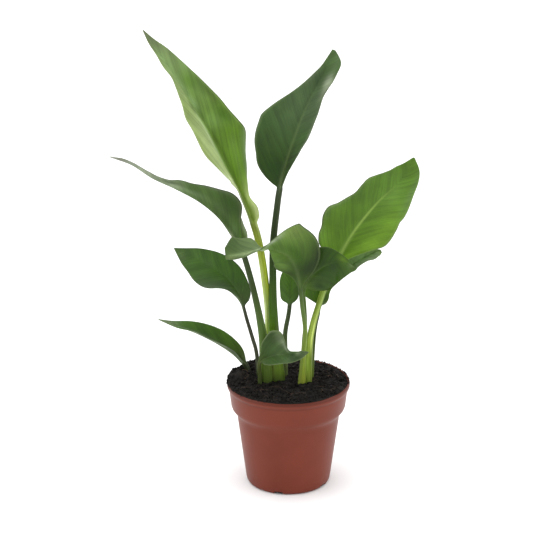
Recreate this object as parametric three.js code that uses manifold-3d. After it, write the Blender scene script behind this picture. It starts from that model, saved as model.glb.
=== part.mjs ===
// Potted bird of paradise: a young plant with eleven leaves in a plastic nursery pot.
// Millimetres, +Z up. The origin is on the pot's axis, in the plane that the pot stands on.
// The plant's broad side faces -Y.

import * as THREE from "three";
import { mergeVertices } from "three/addons/utils/BufferGeometryUtils.js";
import Module from "manifold-3d";

const wasm = await Module();
wasm.setup();

// Pot
const POT_HEIGHT = 106;
const LIP_RADIUS = 61;
const LIP_HEIGHT = 6;
// The lip's large rounding, the width of its inner slope, and the small bevels of the lip and the inner wall.
const LIP_ROUND = 1.6;
const LIP_FLAT = 1.2;
const SMALL_ROUND = 0.6;
const COLLAR_TOP_RADIUS = 58.9;
const COLLAR_FOOT_RADIUS = 56.8;
const COLLAR_FOOT_Z = 78.5;
const SHOULDER_RADIUS = 50.5;
const SHOULDER_Z = 70.5;
const BODY_FOOT_RADIUS = 41.6;
const CORNER_RADIUS = 4;
const WALL = 1.4;
// How far in and up the bevel between the floor and the inner wall reaches.
const INNER_CORNER = [3.4, 3];
const FLOOR_THICKNESS = 1.8;
const PAD_RADIUS = 20;
const RING_RECESS = 1.5;
const RING_DRAFT = 0.8;
// Drain notches through the foot ring. NOTCH_INSET is how far a notch starts inside the ring.
const FOOT_RING_INNER_RADIUS = 34;
const NOTCH_COUNT = 5;
const NOTCH_WIDTH = 9;
const NOTCH_HEIGHT = 3;
const NOTCH_REACH = 14;
const NOTCH_INSET = 2;
const FIRST_NOTCH_ANGLE = -104;
const POT_SIDES = 60;

// Soil. CLEARANCE is the gap to the pot and under the stalks, HOLE_CLEARANCE the gap around a stalk.
const CLEARANCE = 0.3;
const HOLE_CLEARANCE = 0.35;
const SOIL_EDGE_Z = 103.5;
const SOIL_SIDES = 44;
const SOIL_RINGS = 11;
const CRUMB_HEIGHT = 0.8;
// Mounds and hollows of the soil's surface: middle x and y, height, reach.
const MOUNDS = [
  [-38, 44, 7, 14],
  [-50, 8, 5, 13],
  [-36, -3, 7, 17],
  [-46, -26, 2, 14],
  [6, -44, 2, 24],
  [36, 24, 1.5, 22],
  [38, -16, 2, 20],
];

// Leaves
const BLADE_THICKNESS = 0.8;
const BLADE_ROWS = 16;
const STALK_ROWS = 8;
const SMALLEST_HALF_WIDTH = 0.9;
// The half width at which a half blade stands up by its whole lift angle.
const FULL_LIFT_WIDTH = 8;
// The rib's depth at the base of the blade for each unit of the stalk's radius, and its depth at the tip.
const RIB_BASE_DEPTH = 1.3;
const RIB_TIP_DEPTH = 0.3;
// The rib's sides: how deep they are for each unit of the rib's depth, and their limit within the first column.
const RIB_SIDE_DEPTH = 0.3;
const RIB_SIDE_LIMIT = 0.6;
// The columns of each half blade, as fractions of its width.
const COLUMN_FRACTIONS = [0.3, 0.64, 1];
// The share of a stalk in which its sheath narrows to the round stalk.
const SHEATH_SHARE = 0.6;
const SAMPLES_PER_SPAN = 40;
const TOWARDS_VIEWER = [0, -0.95, 0.33];
// How far the plant stands from the pot's axis, along X.
const PLANT_OFFSET = -0.7;

// Each leaf: its spine from the root to the tip, and the index of the spine point where the blade starts.
// stalk gives the stalk's radius, left and right the blade's half widths, all evenly spaced along their length.
// foot is the half width and the half depth of the sheath that the stalk widens into at its root.
// face is the way that the upper face looks. lift and curl are in degrees, for the left and the right half:
// how far a half stands up at the rib, and how far it bends on from there to its margin.
// neck is where a blade is pinched into a thick neck, how much deeper the rib is there, and for what length.
const LEAVES = {
  leaf_tall_new: {
    color: 0x82a64b,
    spine: [
      [-16, 9, 86], [-18.8, 10.5, 140], [-19.4, 11.5, 175], [-21.9, 12, 205], [-26.6, 13, 238], [-33, 15, 263],
      [-44, 18, 291], [-59, 24, 320], [-79, 32, 358], [-102, 41, 394], [-122, 46, 423], [-139, 50, 447],
    ],
    base: 5,
    stalk: [3.6, 3.2, 3.1, 3.3],
    face: [TOWARDS_VIEWER],
    left: [3, 2.8, 2.7, 2.8, 11.8, 18.5, 23.4, 23.4, 22.2, 20.6, 13, 8.3, 4.2, 4.9, 3.5, 3, 0.4],
    right: [5.5, 10.3, 9.6, 19.6, 29.3, 35, 37.5, 31, 27.2, 25, 22, 19, 15.6, 12.4, 9, 4, 0.4],
    lift: [[70, 60, 55, 50, 40, 30, 20], [5]],
    curl: [[0], [-20, -55, -95, -115, -105, -92, -70, -25, 0, 0, 0, 0, 0, 0, 0, 0, 0]],
  },
  leaf_upper_right: {
    color: 0x4a6440,
    spine: [
      [-8.3, 2, 86], [-12.9, 5, 141], [-14.3, 6, 176], [-14.7, 9, 206], [-14.5, 15, 243],
      [-10.8, 20, 278], [-8, 23.5, 296], [-4, 27, 314], [2, 31, 333], [9, 35, 352], [16, 39, 370],
      [26, 43, 391], [36, 47, 409], [43, 50, 428],
    ],
    base: 6,
    stalk: [4.2, 3.5, 3.4, 3.1],
    foot: [6.2, 4.4],
    face: [TOWARDS_VIEWER],
    left: [1, 16.2, 26.3, 31, 35.6, 38, 38.5, 38, 32.5, 25.8, 19.7, 14.7, 10.6, 7.8, 5.1, 2.8, 0.4],
    right: [1.6, 3.2, 5, 8.2, 10.3, 11.6, 13.6, 14.8, 15.6, 16, 15.4, 15.1, 17.5, 20.5, 19.2, 14.2, 3],
    lift: [[10], [30, 30, 28, 25, 15, 0, 0]],
    curl: [[0], [0, 0, 0, 0, 20, 70, 90, 30]],
  },
  leaf_left_arching: {
    color: 0x55704c,
    spine: [
      [-21.2, -2.6, 86], [-22.6, -2.6, 139], [-27, -3, 172], [-35, -5, 212], [-44, -7, 244],
      [-54, -9, 263], [-66, -11, 280], [-84, -14, 296], [-107, -17, 309.5], [-128, -19, 320],
      [-147, -21, 333.8], [-167, -24, 342.6],
    ],
    base: 4,
    stalk: [4.6, 4.3, 3.2, 2.8],
    foot: [4.4, 7.1],
    face: [[0.9, 0, 0.4], [0.6, 0.15, 0.8], [0.1, 0.35, 0.9], [0, 0.41, 0.91], [0, 0.41, 0.91]],
    left: [1, 7, 13, 19, 29, 29, 22.5, 17, 12, 9.6, 5.8, 4.8, 4.5, 3.5, 2.8, 2.4, 0.4],
    right: [4, 12.5, 15, 17.5, 19, 18.9, 17, 13, 9, 6.8, 5.5, 4.7, 4, 3.4, 2.8, 2.4, 0.4],
    lift: [[55, 60], [70, 62]],
    curl: [[0], [0]],
  },
  leaf_left_middle: {
    color: 0x415b33,
    spine: [
      [-27.4, 13, 86], [-31.2, 15, 127], [-35.4, 17, 144], [-40.4, 19, 163], [-43.5, 20, 175], [-48, 21, 188],
      [-58, 24, 202], [-69, 26, 211], [-83, 29, 219], [-97, 31, 227], [-112, 32, 233],
    ],
    base: 4,
    stalk: [2.6, 2, 1.9, 1.7],
    face: [TOWARDS_VIEWER],
    left: [1, 3.5, 7, 14.4, 20.8, 21, 16, 11, 0.4],
    right: [1, 11, 15.3, 17.8, 17.8, 15.4, 11, 4.8, 0.4],
    lift: [[10], [10]],
    curl: [[0], [0]],
  },
  leaf_left_low: {
    color: 0x3d552c,
    spine: [
      [-36, 22, 86], [-39, 25.5, 101], [-42, 28, 111], [-50, 29.5, 120], [-62, 31, 128.6],
      [-78, 32, 137.6], [-96, 33, 145.7], [-113, 33, 151.6], [-129, 32, 158.2],
    ],
    base: 2,
    stalk: [2.6, 2.8],
    face: [[0.5, -0.4, 0.75], [0.1, -0.55, 0.83], [0.1, -0.55, 0.83]],
    left: [2, 7, 9, 10, 9, 8, 5, 2, 0.4],
    right: [2, 9.4, 13, 14.2, 13, 10.6, 7.4, 3.6, 0.4],
    lift: [[56], [20]],
    curl: [[0], [0]],
  },
  leaf_front_small: {
    color: 0x49603f,
    spine: [
      [-27.6, -7.8, 86], [-27.5, -8.7, 113], [-27.6, -11, 129], [-19, -14, 136], [-8, -18, 140],
      [5, -22, 141], [20, -26, 146],
    ],
    base: 2,
    stalk: [2.2, 2.0],
    face: [[0, -0.75, 0.66]],
    left: [1, 4, 7.2, 12.5, 17, 20.8, 24.6, 25.2, 22.8, 12, 5.2, 4, 3.6, 3, 2.8, 1.6, 0.4],
    right: [1, 7, 10.5, 12, 12.5, 10.5, 8, 5.5, 0.4],
    lift: [[40], [20]],
    curl: [[0], [0]],
  },
  leaf_right_bright: {
    color: 0x6b8f46,
    spine: [
      [20.6, -2.2, 86], [21, -1, 138], [24, 1, 161], [30, 3, 183], [38, 5, 207], [47, 7, 226], [59, 12, 248],
      [72, 17, 266], [87, 22, 283], [104, 28, 298], [115, 31, 311], [122, 34, 325],
    ],
    base: 5,
    stalk: [3.4, 3.3, 3, 2.8],
    face: [TOWARDS_VIEWER],
    left: [2, 22, 28.4, 30.2, 35, 35.6, 29.8, 26.2, 23.5, 23.8, 23.7, 20.7, 17.8, 14.5, 11.2, 5.9, 0.4],
    right: [2, 8.5, 15, 21.7, 27.5, 32.5, 34, 33.7, 32.3, 29.8, 29.1, 26.3, 22, 18.4, 15.3, 10.4, 1.5],
    lift: [[12], [12]],
    curl: [[0], [0]],
  },
  leaf_front_twisted: {
    color: 0x5a7748,
    spine: [
      [13, -6, 86], [15.6, -10, 137], [16.6, -14, 164], [14, -19, 189], [12, -23, 209], [9, -29, 229],
      [2, -34, 245], [-9, -40, 254], [-20, -44, 259], [-32, -48, 258], [-45, -51, 254], [-59, -53, 253],
    ],
    base: 4,
    stalk: [2.9, 2.4, 2.2, 2.1],
    foot: [4.4, 3],
    neck: [0.66, 2.6, 0.05],
    face: [
      [0.1, 0.95, 0.2], [0.1, 0.95, 0.2], [0, 0.95, 0.2], [0, 0.95, 0.2], [0, 0.95, 0.2], [0, 0.75, 0.66],
      [0, -0.95, 0.3], TOWARDS_VIEWER, TOWARDS_VIEWER,
    ],
    left: [1, 4, 10, 18, 25, 29, 31.2, 30.3, 30.3, 36, 13, 3, 3, 3.5, 3.5, 4, 3],
    right: [1, 3, 6, 12, 18, 19.5, 18.5, 15.5, 11.5, 6.5, 2.5, 6, 12, 15, 17, 17.5, 8],
    lift: [[10], [10]],
    curl: [[0], [0]],
  },
  leaf_right_front: {
    color: 0x5a7346,
    spine: [
      [16, 3, 86], [15.5, 1.5, 138], [17, -5, 166], [16, -11, 190], [15, -14, 205], [20, -17, 217],
      [29, -20, 228], [41, -23, 236], [53, -27, 238], [65, -29, 233],
    ],
    base: 4,
    stalk: [2.4, 2.1, 2.0, 1.9],
    face: [TOWARDS_VIEWER],
    left: [1, 6, 12, 17, 19.5, 17, 9, 3, 0.4],
    right: [1, 12, 18.7, 21.6, 21.4, 20.6, 20, 16, 0.4],
    lift: [[10], [10]],
    curl: [[0], [0]],
  },
  leaf_right_back: {
    color: 0x4c6834,
    spine: [
      [23, 6.5, 86], [25, 8, 140], [27, 9, 160], [30, 10, 174], [32, 11, 183], [40, 13, 197],
      [52, 15, 212], [66, 17, 223], [79, 19, 230], [91, 21, 235],
    ],
    base: 4,
    stalk: [2.4, 2.0, 1.9, 1.8],
    face: [TOWARDS_VIEWER],
    left: [6.5, 17.5, 21, 22, 22, 21.4, 20, 18.6, 17, 15, 13, 11.5, 10, 8.2, 6, 3.3, 0.4],
    right: [1, 5, 6.2, 3.5, 2.5, 3.3, 4.5, 5.8, 8, 8, 9.2, 7, 7.2, 8.2, 9.8, 8, 3],
    lift: [[10], [45, 55]],
    curl: [[0], [0]],
  },
  leaf_small_back: {
    color: 0x41572d,
    spine: [
      [-2, 14, 86], [-2.4, 19, 130], [-2.3, 23, 148], [0.7, 27, 164], [2, 28, 175], [2, 29, 186],
      [3, 30, 200], [6, 31, 214], [9, 32, 227],
    ],
    base: 4,
    stalk: [2.4, 2.1, 2, 1.8],
    face: [TOWARDS_VIEWER],
    left: [1, 7.4, 9.4, 10.4, 10.8, 9.8, 8.6, 6, 0.4],
    right: [1, 6.8, 9, 10.6, 11, 11, 10, 7.7, 0.4],
    lift: [[10], [10]],
    curl: [[0], [0]],
  },
};

// A smooth curve through evenly spaced numbers, read at fraction u of its length.
function along(values, u) {
  if (values.length === 1) return values[0];
  const last = values.length - 1;
  const place = THREE.MathUtils.clamp(u, 0, 1) * last;
  const index = Math.min(Math.floor(place), last - 1);
  const w = place - index;
  const before = index > 0 ? values[index - 1] : 2 * values[0] - values[1];
  const from = values[index];
  const to = values[index + 1];
  const after = index + 2 <= last ? values[index + 2] : 2 * values[last] - values[last - 1];
  const slopeFrom = (to - before) / 2;
  const slopeTo = (after - from) / 2;
  const cubic = (2 * from - 2 * to + slopeFrom + slopeTo) * w ** 3;
  const square = (3 * to - 3 * from - 2 * slopeFrom - slopeTo) * w * w;
  return cubic + square + slopeFrom * w + from;
}

// The spine as a curve, read by how far along the stalk or the blade a point is.
class Spine {
  constructor(leaf) {
    const points = leaf.spine.map(([x, y, z]) => new THREE.Vector3(x + PLANT_OFFSET, y, z));
    this.leaf = leaf;
    this.curve = new THREE.CatmullRomCurve3(points, false, "catmullrom", 0.5);
    this.curve.arcLengthDivisions = SAMPLES_PER_SPAN * (points.length - 1);
    const lengths = this.curve.getLengths();
    this.bladeStart = lengths[SAMPLES_PER_SPAN * leaf.base] / lengths[lengths.length - 1];
  }

  frameAt(fraction, u) {
    const t = this.curve.getUtoTmapping(fraction);
    const tangent = this.curve.getTangent(t);
    const face = new THREE.Vector3(...[0, 1, 2].map((axis) => along(this.leaf.face.map((way) => way[axis]), u)));
    face.addScaledVector(tangent, -face.dot(tangent)).normalize();
    const side = new THREE.Vector3().crossVectors(tangent, face);
    return { middle: this.curve.getPoint(t), tangent, face, side };
  }

  stalkFrame(u) {
    return this.frameAt(u * this.bladeStart, 0);
  }

  bladeFrame(u) {
    return this.frameAt(this.bladeStart + u * (1 - this.bladeStart), u);
  }
}

// A point of one half blade and the direction square to it. half is -1 for the left and 1 for the right.
function halfBlade(leaf, frame, u, half, fraction) {
  const number = half < 0 ? 0 : 1;
  const width = Math.max(SMALLEST_HALF_WIDTH, along(half < 0 ? leaf.left : leaf.right, u));
  const opening = Math.min(1, width / FULL_LIFT_WIDTH);
  const lift = THREE.MathUtils.degToRad(along(leaf.lift[number], u)) * opening;
  const curl = THREE.MathUtils.degToRad(along(leaf.curl[number], u));
  const angle = lift + curl * fraction;
  let across = Math.cos(lift) * fraction;
  let up = Math.sin(lift) * fraction;
  if (Math.abs(curl) > 1e-4) {
    across = (Math.sin(angle) - Math.sin(lift)) / curl;
    up = (Math.cos(lift) - Math.cos(angle)) / curl;
  }
  const point = frame.middle.clone();
  point.addScaledVector(frame.side, half * across * width).addScaledVector(frame.face, up * width);
  const normal = frame.side.clone().multiplyScalar(-half * Math.sin(angle));
  normal.addScaledVector(frame.face, Math.cos(angle));
  return { point, normal, width };
}

// How far the rib stands out of the underside.
function ribDepthAt(leaf, u) {
  const stalkRadius = leaf.stalk[leaf.stalk.length - 1];
  const depth = THREE.MathUtils.lerp(stalkRadius * RIB_BASE_DEPTH, RIB_TIP_DEPTH, Math.sqrt(u));
  if (!leaf.neck) return depth;
  const [place, extraDepth, reach] = leaf.neck;
  return depth + extraDepth * Math.exp(-(((u - place) / reach) ** 2));
}

// One cross-section of a blade: the upper face from left to right, then the underside with the rib.
function bladeRing(leaf, spine, u) {
  const frame = spine.bladeFrame(u);
  const halfThickness = BLADE_THICKNESS / 2;
  const ribDepth = ribDepthAt(leaf, u);
  const upper = [];
  const under = [];
  for (const half of [-1, 1]) {
    for (const fraction of COLUMN_FRACTIONS) {
      const { point, normal } = halfBlade(leaf, frame, u, half, fraction);
      upper.push(point.clone().addScaledVector(normal, halfThickness));
      under.push(point.clone().addScaledVector(normal, -halfThickness));
    }
  }
  const left = halfBlade(leaf, frame, u, -1, 0);
  const right = halfBlade(leaf, frame, u, 1, 0);
  const ridge = left.normal.clone().add(right.normal).normalize();
  const groove = frame.middle.clone().addScaledVector(ridge, halfThickness);
  const keel = frame.middle.clone().addScaledVector(ridge, -halfThickness - ribDepth);
  const ribSides = [left, right].map(({ width }, number) => {
    const fraction = Math.min(ribDepth / width, COLUMN_FRACTIONS[0] * RIB_SIDE_LIMIT);
    const { point, normal } = halfBlade(leaf, frame, u, number === 0 ? -1 : 1, fraction);
    return point.addScaledVector(normal, -halfThickness - ribDepth * RIB_SIDE_DEPTH);
  });
  return [
    upper[2], upper[1], upper[0], groove, upper[3], upper[4], upper[5],
    under[5], under[4], under[3], ribSides[1], keel, ribSides[0], under[0], under[1], under[2],
  ];
}

// The half width and the half depth of a stalk: a sheath at the root, round farther up.
function stalkRadii(leaf, u) {
  const radius = along(leaf.stalk, u);
  if (!leaf.foot) return [radius, radius];
  const sheath = 1 - THREE.MathUtils.smoothstep(u, 0, SHEATH_SHARE);
  return leaf.foot.map((reach) => radius + (reach - leaf.stalk[0]) * sheath);
}

// One cross-section of a stalk, with its points in the same order as a blade's.
function stalkRing(leaf, spine, u, extraRadius = 0, extraDepth = 0) {
  const frame = spine.stalkFrame(u);
  const [halfWidth, halfDepth] = stalkRadii(leaf, u).map((radius) => radius + extraRadius);
  const middle = frame.middle.addScaledVector(frame.tangent, -extraDepth);
  const upperAngles = [0, 1, 2, 3, 4, 5, 6].map((step) => 180 - 30 * step);
  const underAngles = [1, 2, 3, 4, 5, 6, 7, 8, 9].map((step) => -18 * step);
  return [...upperAngles, ...underAngles].map((degrees) => {
    const angle = THREE.MathUtils.degToRad(degrees);
    const point = middle.clone().addScaledVector(frame.side, halfWidth * Math.cos(angle));
    return point.addScaledVector(frame.face, halfDepth * Math.sin(angle));
  });
}

// A closed skin over a row of rings. The underside's quads are split the same way as the upper face's.
function skinOver(rings) {
  const count = rings[0].length;
  const lastUpper = 6;
  const positions = rings.flat().flatMap((point) => point.toArray());
  const triangles = [];
  for (let row = 0; row < rings.length - 1; row++) {
    for (let k = 0; k < count; k++) {
      const next = (k + 1) % count;
      const [a, b] = [row * count + k, row * count + next];
      const [c, d] = [a + count, b + count];
      if (k < lastUpper) triangles.push(a, b, d, a, d, c);
      else triangles.push(a, b, c, b, d, c);
    }
  }
  for (const [row, turn] of [[0, 1], [rings.length - 1, -1]]) {
    const middle = new THREE.Vector3();
    for (const point of rings[row]) middle.addScaledVector(point, 1 / count);
    const apex = positions.length / 3;
    positions.push(...middle.toArray());
    for (let k = 0; k < count; k++) {
      const ends = [row * count + k, row * count + ((k + 1) % count)];
      triangles.push(apex, ...(turn > 0 ? ends.reverse() : ends));
    }
  }
  const geometry = new THREE.BufferGeometry();
  geometry.setAttribute("position", new THREE.Float32BufferAttribute(positions, 3));
  geometry.setIndex(triangles);
  return geometry;
}

function solidOf(geometry) {
  const bare = geometry.clone();
  bare.deleteAttribute("normal");
  bare.deleteAttribute("uv");
  const merged = mergeVertices(bare, 1e-4);
  const corners = merged.index.array;
  const kept = [];
  for (let i = 0; i < corners.length; i += 3) {
    const [a, b, c] = [corners[i], corners[i + 1], corners[i + 2]];
    if (a !== b && b !== c && c !== a) kept.push(a, b, c);
  }
  return new wasm.Manifold(new wasm.Mesh({
    numProp: 3,
    vertProperties: Float32Array.from(merged.attributes.position.array),
    triVerts: Uint32Array.from(kept),
  }));
}

function geometryOf(solid) {
  const mesh = solid.getMesh();
  const geometry = new THREE.BufferGeometry();
  geometry.setAttribute("position", new THREE.Float32BufferAttribute(Array.from(mesh.vertProperties), 3));
  geometry.setIndex(Array.from(mesh.triVerts));
  geometry.computeVertexNormals();
  return geometry;
}

function leafGeometry(leaf) {
  const spine = new Spine(leaf);
  const rings = [];
  for (let row = 0; row <= STALK_ROWS; row++) rings.push(stalkRing(leaf, spine, row / STALK_ROWS));
  for (let row = 1; row <= BLADE_ROWS; row++) rings.push(bladeRing(leaf, spine, row / BLADE_ROWS));
  const geometry = skinOver(rings);
  geometry.computeVertexNormals();
  return geometry;
}

// The hole that a stalk stands in, a little wider and deeper than the stalk.
function stalkHole(leaf) {
  const spine = new Spine(leaf);
  const rings = [];
  for (let row = 0; row <= STALK_ROWS; row++) {
    rings.push(stalkRing(leaf, spine, row / STALK_ROWS, HOLE_CLEARANCE, row === 0 ? CLEARANCE : 0));
  }
  return solidOf(skinOver(rings));
}

function potProfile() {
  const lipFootZ = POT_HEIGHT - LIP_HEIGHT;
  const footRadius = BODY_FOOT_RADIUS - CORNER_RADIUS;
  const outline = [
    [0, 0], [PAD_RADIUS, 0], [PAD_RADIUS + RING_DRAFT, RING_RECESS],
    [FOOT_RING_INNER_RADIUS - RING_DRAFT, RING_RECESS], [FOOT_RING_INNER_RADIUS, 0], [footRadius, 0],
  ];
  for (const degrees of [30, 60]) {
    const angle = THREE.MathUtils.degToRad(degrees);
    outline.push([footRadius + CORNER_RADIUS * Math.sin(angle), CORNER_RADIUS * (1 - Math.cos(angle))]);
  }
  outline.push(
    [BODY_FOOT_RADIUS, CORNER_RADIUS], [SHOULDER_RADIUS, SHOULDER_Z], [COLLAR_FOOT_RADIUS, COLLAR_FOOT_Z],
    [COLLAR_TOP_RADIUS, lipFootZ - SMALL_ROUND], [LIP_RADIUS - SMALL_ROUND, lipFootZ],
    [LIP_RADIUS, lipFootZ + LIP_ROUND], [LIP_RADIUS, POT_HEIGHT - LIP_ROUND],
    [LIP_RADIUS - SMALL_ROUND, POT_HEIGHT - SMALL_ROUND], [LIP_RADIUS - LIP_ROUND, POT_HEIGHT],
    [LIP_RADIUS - LIP_ROUND - LIP_FLAT, POT_HEIGHT - SMALL_ROUND],
    ...innerWall().reverse(),
  );
  return outline.map(([radius, z]) => new THREE.Vector2(radius, z));
}

// The inside of the pot from the floor's middle to just below the lip.
function innerWall() {
  return [
    [0, RING_RECESS + FLOOR_THICKNESS], [BODY_FOOT_RADIUS - INNER_CORNER[0], RING_RECESS + FLOOR_THICKNESS],
    [BODY_FOOT_RADIUS - WALL, CORNER_RADIUS + INNER_CORNER[1]], [SHOULDER_RADIUS - WALL, SHOULDER_Z + SMALL_ROUND],
    [COLLAR_FOOT_RADIUS - WALL, COLLAR_FOOT_Z + SMALL_ROUND], [COLLAR_TOP_RADIUS - WALL, POT_HEIGHT - LIP_HEIGHT],
  ];
}

function potGeometry() {
  const lathe = new THREE.LatheGeometry(potProfile(), POT_SIDES).rotateX(Math.PI / 2);
  let pot = solidOf(lathe);
  for (let number = 0; number < NOTCH_COUNT; number++) {
    const notch = new THREE.BoxGeometry(NOTCH_REACH, NOTCH_WIDTH, NOTCH_HEIGHT * 2);
    notch.translate(FOOT_RING_INNER_RADIUS + NOTCH_REACH / 2 - NOTCH_INSET, 0, 0);
    notch.rotateZ(THREE.MathUtils.degToRad(FIRST_NOTCH_ANGLE + (360 / NOTCH_COUNT) * number));
    pot = pot.subtract(solidOf(notch));
  }
  return geometryOf(pot);
}

function soilHeight(x, y) {
  let z = SOIL_EDGE_Z;
  for (const [middleX, middleY, height, reach] of MOUNDS) {
    const away = ((x - middleX) ** 2 + (y - middleY) ** 2) / reach ** 2;
    z += height * Math.exp(-away);
  }
  const crumbs = Math.sin(x * 0.61 + 1.7 * Math.sin(y * 0.37)) * Math.sin(y * 0.53 + 1.3 * Math.sin(x * 0.29));
  return z + CRUMB_HEIGHT * crumbs;
}

// Soil that fills the pot, with a hole for each stalk.
function soilGeometry() {
  const wall = innerWall().map(([radius, z]) => [Math.max(0, radius - CLEARANCE), z]);
  wall[0][1] += CLEARANCE;
  wall[1][1] += CLEARANCE;
  const edgeRadius = wall[wall.length - 1][0];
  const profile = wall.map(([radius, z]) => new THREE.Vector2(radius, z));
  for (let ring = SOIL_RINGS; ring >= 0; ring--) {
    profile.push(new THREE.Vector2((edgeRadius * ring) / SOIL_RINGS, POT_HEIGHT));
  }
  const lathe = new THREE.LatheGeometry(profile, SOIL_SIDES).rotateX(Math.PI / 2);
  const position = lathe.attributes.position;
  for (let i = 0; i < position.count; i++) {
    if (position.getZ(i) > POT_HEIGHT - 0.01) {
      position.setZ(i, soilHeight(position.getX(i), position.getY(i)));
    }
  }
  let soil = solidOf(lathe);
  for (const leaf of Object.values(LEAVES)) soil = soil.subtract(stalkHole(leaf));
  return geometryOf(soil);
}

function namedMesh(name, geometry, color, roughness) {
  const mesh = new THREE.Mesh(geometry, new THREE.MeshStandardMaterial({ color, roughness, metalness: 0 }));
  mesh.name = name;
  return mesh;
}

const plant = new THREE.Group();
plant.name = "potted_bird_of_paradise";
plant.add(namedMesh("pot", potGeometry(), 0xa3584a, 0.5));
plant.add(namedMesh("soil", soilGeometry(), 0x2a2624, 0.95));
for (const [name, leaf] of Object.entries(LEAVES)) {
  plant.add(namedMesh(name, leafGeometry(leaf), leaf.color, 0.5));
}

export default plant;
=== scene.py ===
"""Potted bird of paradise: the looks of the leaves, the soil and the nursery pot.

Sizes are in millimetres in the tables and named values, and are turned into metres when a mesh is made.
"""

import math

import bpy
import numpy as np
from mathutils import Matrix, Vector, noise


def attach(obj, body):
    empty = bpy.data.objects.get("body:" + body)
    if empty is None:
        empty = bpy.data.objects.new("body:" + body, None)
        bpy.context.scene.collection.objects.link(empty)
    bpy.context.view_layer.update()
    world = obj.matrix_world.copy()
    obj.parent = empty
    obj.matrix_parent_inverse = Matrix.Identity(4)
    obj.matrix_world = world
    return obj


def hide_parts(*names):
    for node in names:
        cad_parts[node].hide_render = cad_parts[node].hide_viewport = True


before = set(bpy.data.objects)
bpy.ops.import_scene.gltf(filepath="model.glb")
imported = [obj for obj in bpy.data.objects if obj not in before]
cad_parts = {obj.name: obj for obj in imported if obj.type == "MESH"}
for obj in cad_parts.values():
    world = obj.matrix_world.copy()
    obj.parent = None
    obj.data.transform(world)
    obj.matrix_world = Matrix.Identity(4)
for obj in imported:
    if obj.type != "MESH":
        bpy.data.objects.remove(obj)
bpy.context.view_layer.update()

MM = 0.001
TOWARDS_VIEWER = (0, -0.95, 0.33)
# The leaves stand this far from where the points of their spines put them.
PLANT_OFFSET = (-0.7, 0, 0)

# ---------------------------------------- leaves: shapes and colours

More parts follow.
